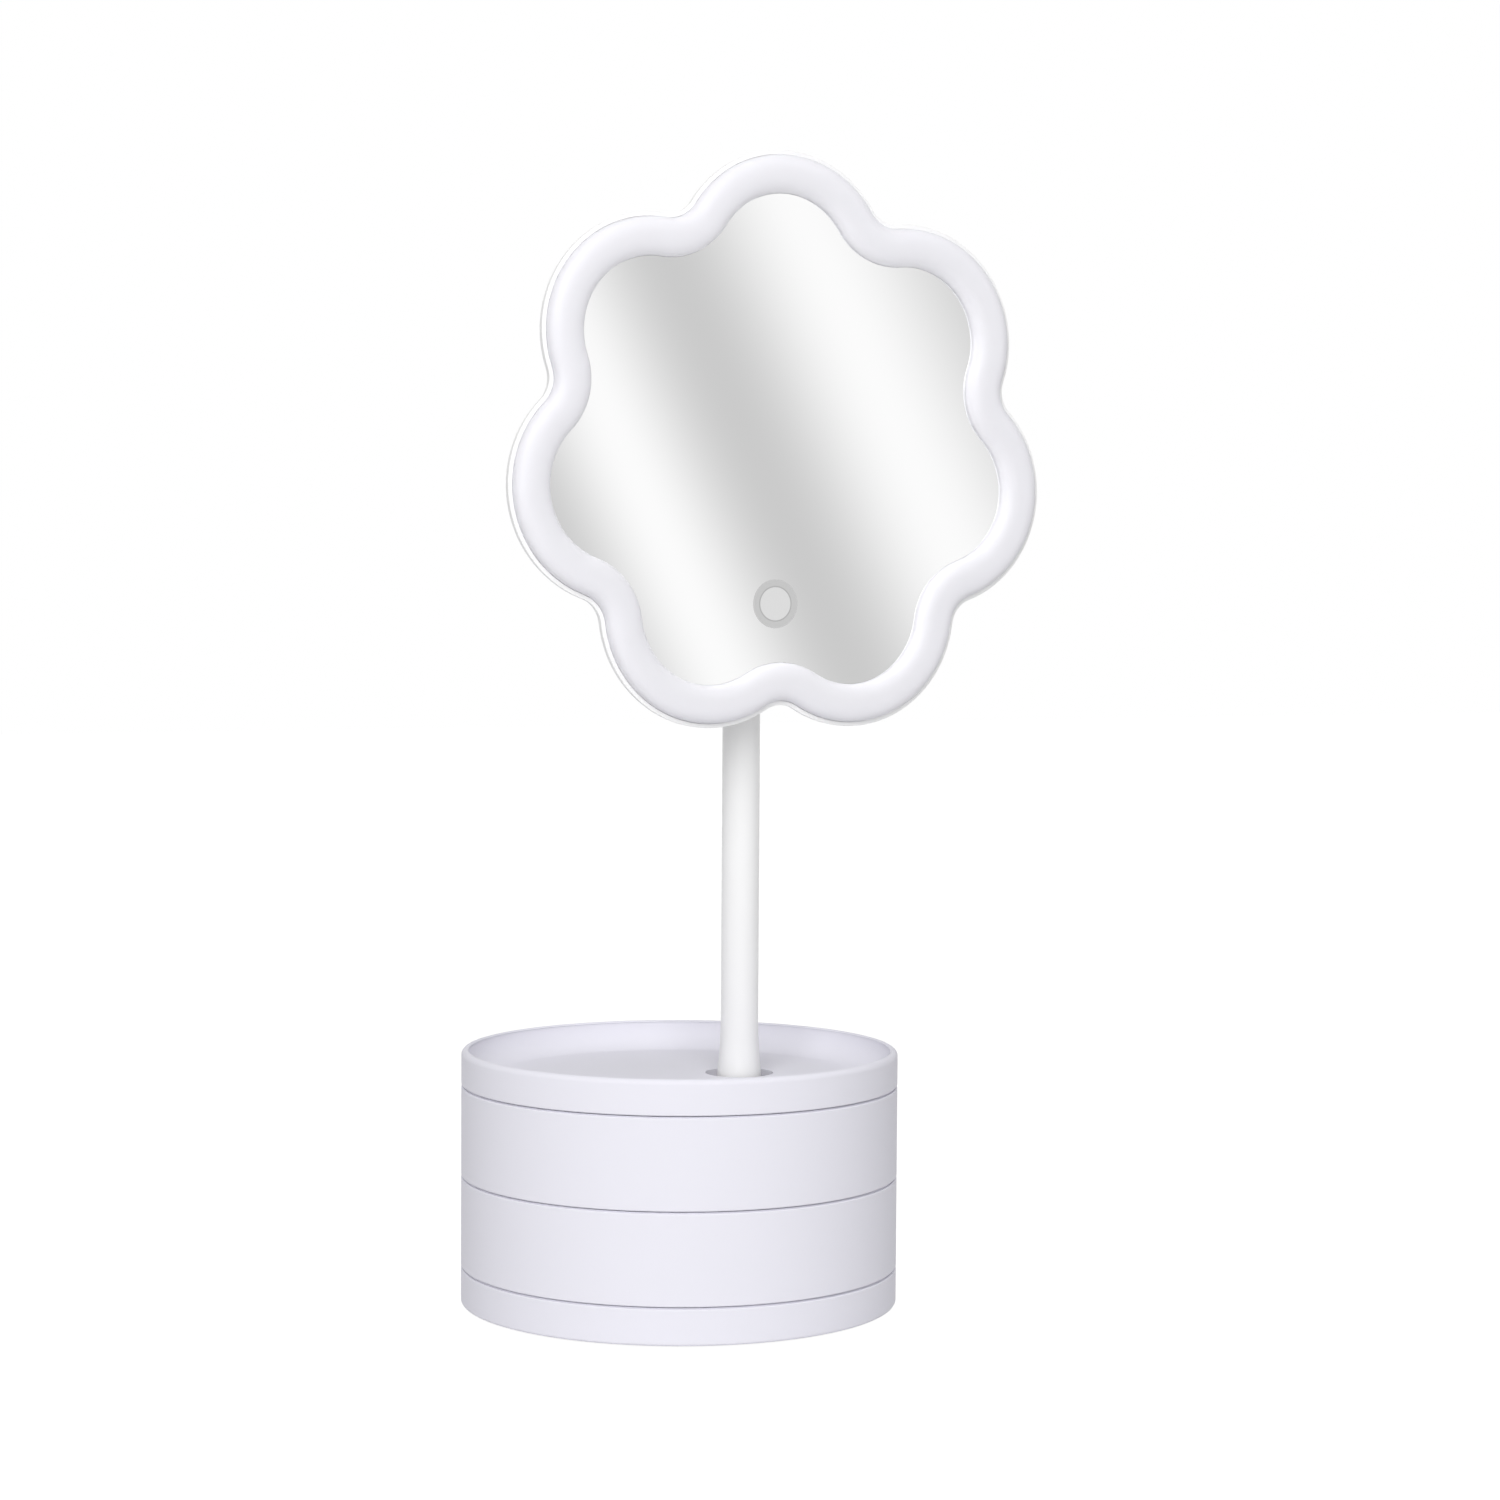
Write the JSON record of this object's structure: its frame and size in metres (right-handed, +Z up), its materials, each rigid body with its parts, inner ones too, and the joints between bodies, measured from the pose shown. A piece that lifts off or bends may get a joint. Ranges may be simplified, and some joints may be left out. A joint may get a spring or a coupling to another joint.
{
  "type": "vanity mirror with drawers",
  "caption": "Lobed lighted vanity mirror on a turning post, tilting on a hinge, over a round weighted base with swivelling drawers and an open tray.",
  "frame": {"origin": "centre of the foot pad's underside, on the table", "axes": "+Z up, the mirror faces -Y at rest, +X to the right of someone facing the mirror"},
  "size_m": [0.1956, 0.15, 0.3928],
  "materials": {
    "white_plastic": "satin moulded ABS, faint lavender white",
    "shell_white_plastic": "satin moulded ABS, white",
    "dark_acetal": "dark grey acetal",
    "foam_rubber": "black closed-cell foam",
    "zinc_steel": "zinc-plated steel",
    "plate_steel": "plain steel plate",
    "natural_nylon": "natural nylon",
    "sintered_bronze": "sintered bronze",
    "white_painted_metal": "white gloss paint",
    "frosted_acrylic": "frosted opal acrylic",
    "silvered_glass": "silvered float glass",
    "circuit_board": "white solder mask",
    "battery_foil": "aluminium-laminate pouch",
    "red_insulation": "red insulation",
    "black_insulation": "black insulation",
    "white_insulation": "white insulation"
  },
  "bodies": {
    "base": {"foot_pad": "foam_rubber", "base_cover": "white_plastic", "cover_screw_1": "zinc_steel", "cover_screw_2": "zinc_steel", "cover_screw_3": "zinc_steel", "cover_screw_4": "zinc_steel", "ballast_plate": "plate_steel", "base_shell": "white_plastic", "pivot_column": "dark_acetal", "column_screw_1": "zinc_steel", "column_screw_2": "zinc_steel", "column_screw_3": "zinc_steel", "tier_washer_1": "natural_nylon", "tier_washer_2": "natural_nylon", "tier_washer_3": "natural_nylon", "circlip": "zinc_steel", "upper_bush": "sintered_bronze", "lower_bush": "sintered_bronze", "thrust_washer": "natural_nylon"},
    "lower_tier": {"lower_drawer": "white_plastic"},
    "upper_tier": {"upper_drawer": "white_plastic"},
    "top_tray": {"tray": "white_plastic"},
    "mast": {"post": "white_painted_metal", "post_end_plug": "zinc_steel", "retaining_washer": "zinc_steel", "retaining_screw": "zinc_steel", "post_knuckle": "white_painted_metal", "friction_washer_1": "natural_nylon", "friction_washer_2": "natural_nylon"},
    "head": {"hinge_bracket": "white_painted_metal", "hinge_bolt": "zinc_steel", "hinge_nut": "zinc_steel", "bracket_screw_1": "zinc_steel", "bracket_screw_2": "zinc_steel", "bracket_screw_3": "zinc_steel", "bracket_screw_4": "zinc_steel", "rear_housing": "shell_white_plastic", "carrier": "shell_white_plastic", "carrier_screw_1": "zinc_steel", "carrier_screw_2": "zinc_steel", "carrier_screw_3": "zinc_steel", "carrier_screw_4": "zinc_steel", "led_strip": "circuit_board", "diffuser_ring": "frosted_acrylic", "mirror_glass": "silvered_glass", "touch_sensor": "zinc_steel", "control_board": "circuit_board", "usb_socket": "zinc_steel", "battery_cell": "battery_foil", "battery_lead_1": "red_insulation", "battery_lead_2": "black_insulation", "led_lead": "white_insulation"}
  },
  "joints": [
    {"name": "lower_drawer_swivel", "type": "hinge", "parent": "base", "child": "lower_tier", "pos_m": [0.0225, 0, 0], "axis": [0, 0, 1], "continuous": true},
    {"name": "upper_drawer_swivel", "type": "hinge", "parent": "base", "child": "upper_tier", "pos_m": [0.0225, 0, 0], "axis": [0, 0, 1], "continuous": true},
    {"name": "tray_swivel", "type": "hinge", "parent": "base", "child": "top_tray", "pos_m": [0.0225, 0, 0], "axis": [0, 0, 1], "continuous": true},
    {"name": "post_swivel", "type": "hinge", "parent": "base", "child": "mast", "pos_m": [0.0225, 0, 0], "axis": [0, 0, 1], "continuous": true},
    {"name": "head_tilt", "type": "hinge", "parent": "mast", "child": "head", "pos_m": [0.0225, 0, 0.2933], "axis": [-1, 0, 0], "range_deg": [-5, 90]}
  ]
}
